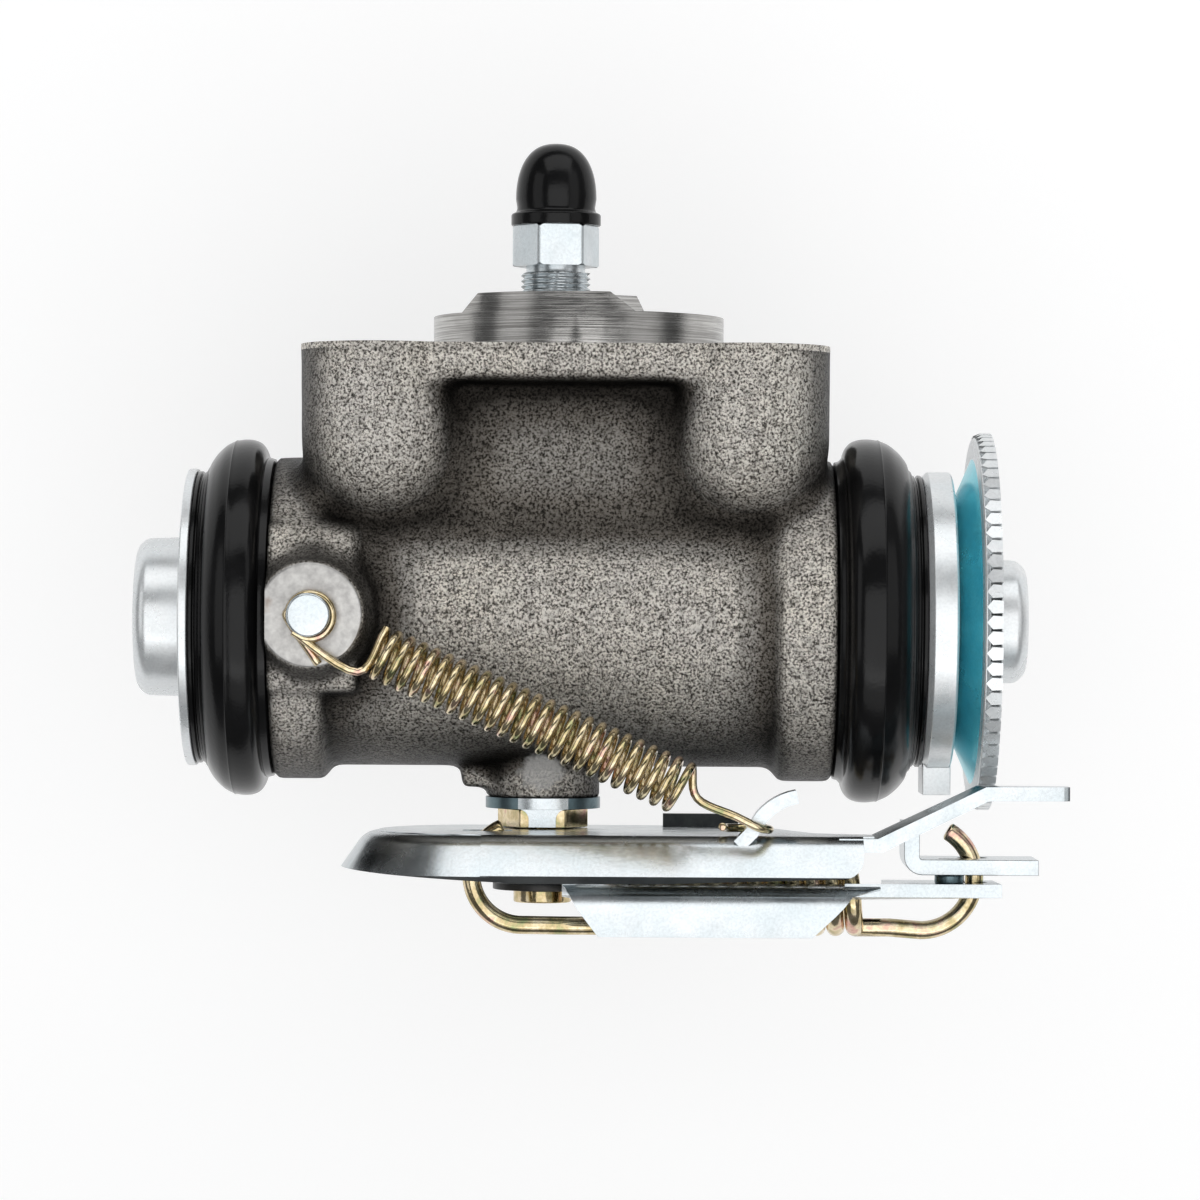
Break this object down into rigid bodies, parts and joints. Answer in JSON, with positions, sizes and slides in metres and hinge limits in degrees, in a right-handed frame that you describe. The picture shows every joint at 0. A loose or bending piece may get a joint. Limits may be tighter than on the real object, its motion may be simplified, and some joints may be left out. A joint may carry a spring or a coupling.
{
  "type": "drum brake wheel cylinder",
  "caption": "Drum brake wheel cylinder with two opposed pistons, dust boots, a star wheel adjuster and its sprung trip levers.",
  "frame": {"origin": "centre of the pilot, on the mounting face", "axes": "+Z leaves the mounting face along the pilot, +X along the bore to the star wheel end, -Y the side with the return spring"},
  "size_m": [0.1331, 0.0593, 0.1138],
  "materials": {
    "cast_iron": "sand cast, grey brown, granular",
    "zinc_plate": "bright zinc plate, bluish silver",
    "blue_zinc": "blue passivated zinc plate",
    "yellow_zinc": "yellow passivated zinc on steel",
    "black_rubber": "moulded, satin",
    "machined_steel": "turned",
    "black_steel": "blackened"
  },
  "bodies": {
    "cylinder": {"cast_body": "cast_iron", "left_boot": "black_rubber", "right_boot": "black_rubber", "centre_spring": "machined_steel", "anchor_pin": "zinc_plate", "return_spring": "yellow_zinc", "lock_plate": "zinc_plate", "pivot_stud": "yellow_zinc", "pivot_bush": "machined_steel", "pivot_clip": "black_steel"},
    "left_plunger": {"left_piston": "machined_steel", "left_cup": "black_rubber", "left_spreader": "machined_steel", "fixed_tappet": "zinc_plate"},
    "right_plunger": {"right_piston": "machined_steel", "right_cup": "black_rubber", "right_spreader": "machined_steel", "adjuster_collar": "zinc_plate"},
    "wheel": {"star_wheel": "blue_zinc", "adjuster_nut": "zinc_plate"},
    "screw": {"adjuster_screw": "zinc_plate"},
    "upper_lever": {"adjuster_lever": "zinc_plate", "overload_spring": "yellow_zinc"},
    "lower_lever": {"trip_lever": "zinc_plate", "drive_dog": "zinc_plate", "dog_rivet": "black_steel"},
    "bleeder": {"bleed_screw": "zinc_plate"},
    "cap": {"bleed_cap": "black_rubber"}
  },
  "joints": [
    {"name": "left_piston_slide", "type": "slide", "parent": "cylinder", "child": "left_plunger", "axis": [-1, 0, 0], "range_m": [0, 0.006], "deforming": ["left_boot", "centre_spring"]},
    {"name": "right_piston_slide", "type": "slide", "parent": "cylinder", "child": "right_plunger", "axis": [1, 0, 0], "range_m": [0, 0.006], "deforming": ["right_boot", "centre_spring"]},
    {"name": "wheel_turn", "type": "hinge", "parent": "right_plunger", "child": "wheel", "pos_m": [0.0579, 0, -0.039], "axis": [1, 0, 0], "range_deg": [0, 1440]},
    {"name": "screw_out", "type": "slide", "parent": "right_plunger", "child": "screw", "axis": [1, 0, 0], "range_m": [0, 0.006]},
    {"name": "lever_swing", "type": "hinge", "parent": "cylinder", "child": "upper_lever", "pos_m": [-0.0048, 0, -0.0702], "axis": [0, 0, 1], "range_deg": [0, 2], "stiffness_Nm_per_rad": 0.3, "springref_deg": -68.75, "deforming": ["return_spring"]},
    {"name": "trip_swing", "type": "hinge", "parent": "upper_lever", "child": "lower_lever", "pos_m": [-0.0048, 0, -0.0724], "axis": [0, 0, 1], "range_deg": [0, 5], "stiffness_Nm_per_rad": 2, "springref_deg": -28.65, "deforming": ["overload_spring"]},
    {"name": "bleed_turn", "type": "hinge", "parent": "cylinder", "child": "bleeder", "pos_m": [-0.00335, -0.005, 0.0146], "axis": [0, 0, 1], "range_deg": [0, 270]},
    {"name": "cap_pull", "type": "slide", "parent": "bleeder", "child": "cap", "axis": [0, 0, 1], "range_m": [0, 0.016]}
  ],
  "couplings": [
    {"joint": "screw_out", "follows": "wheel_turn", "m_per_rad": 0.00023873}
  ]
}
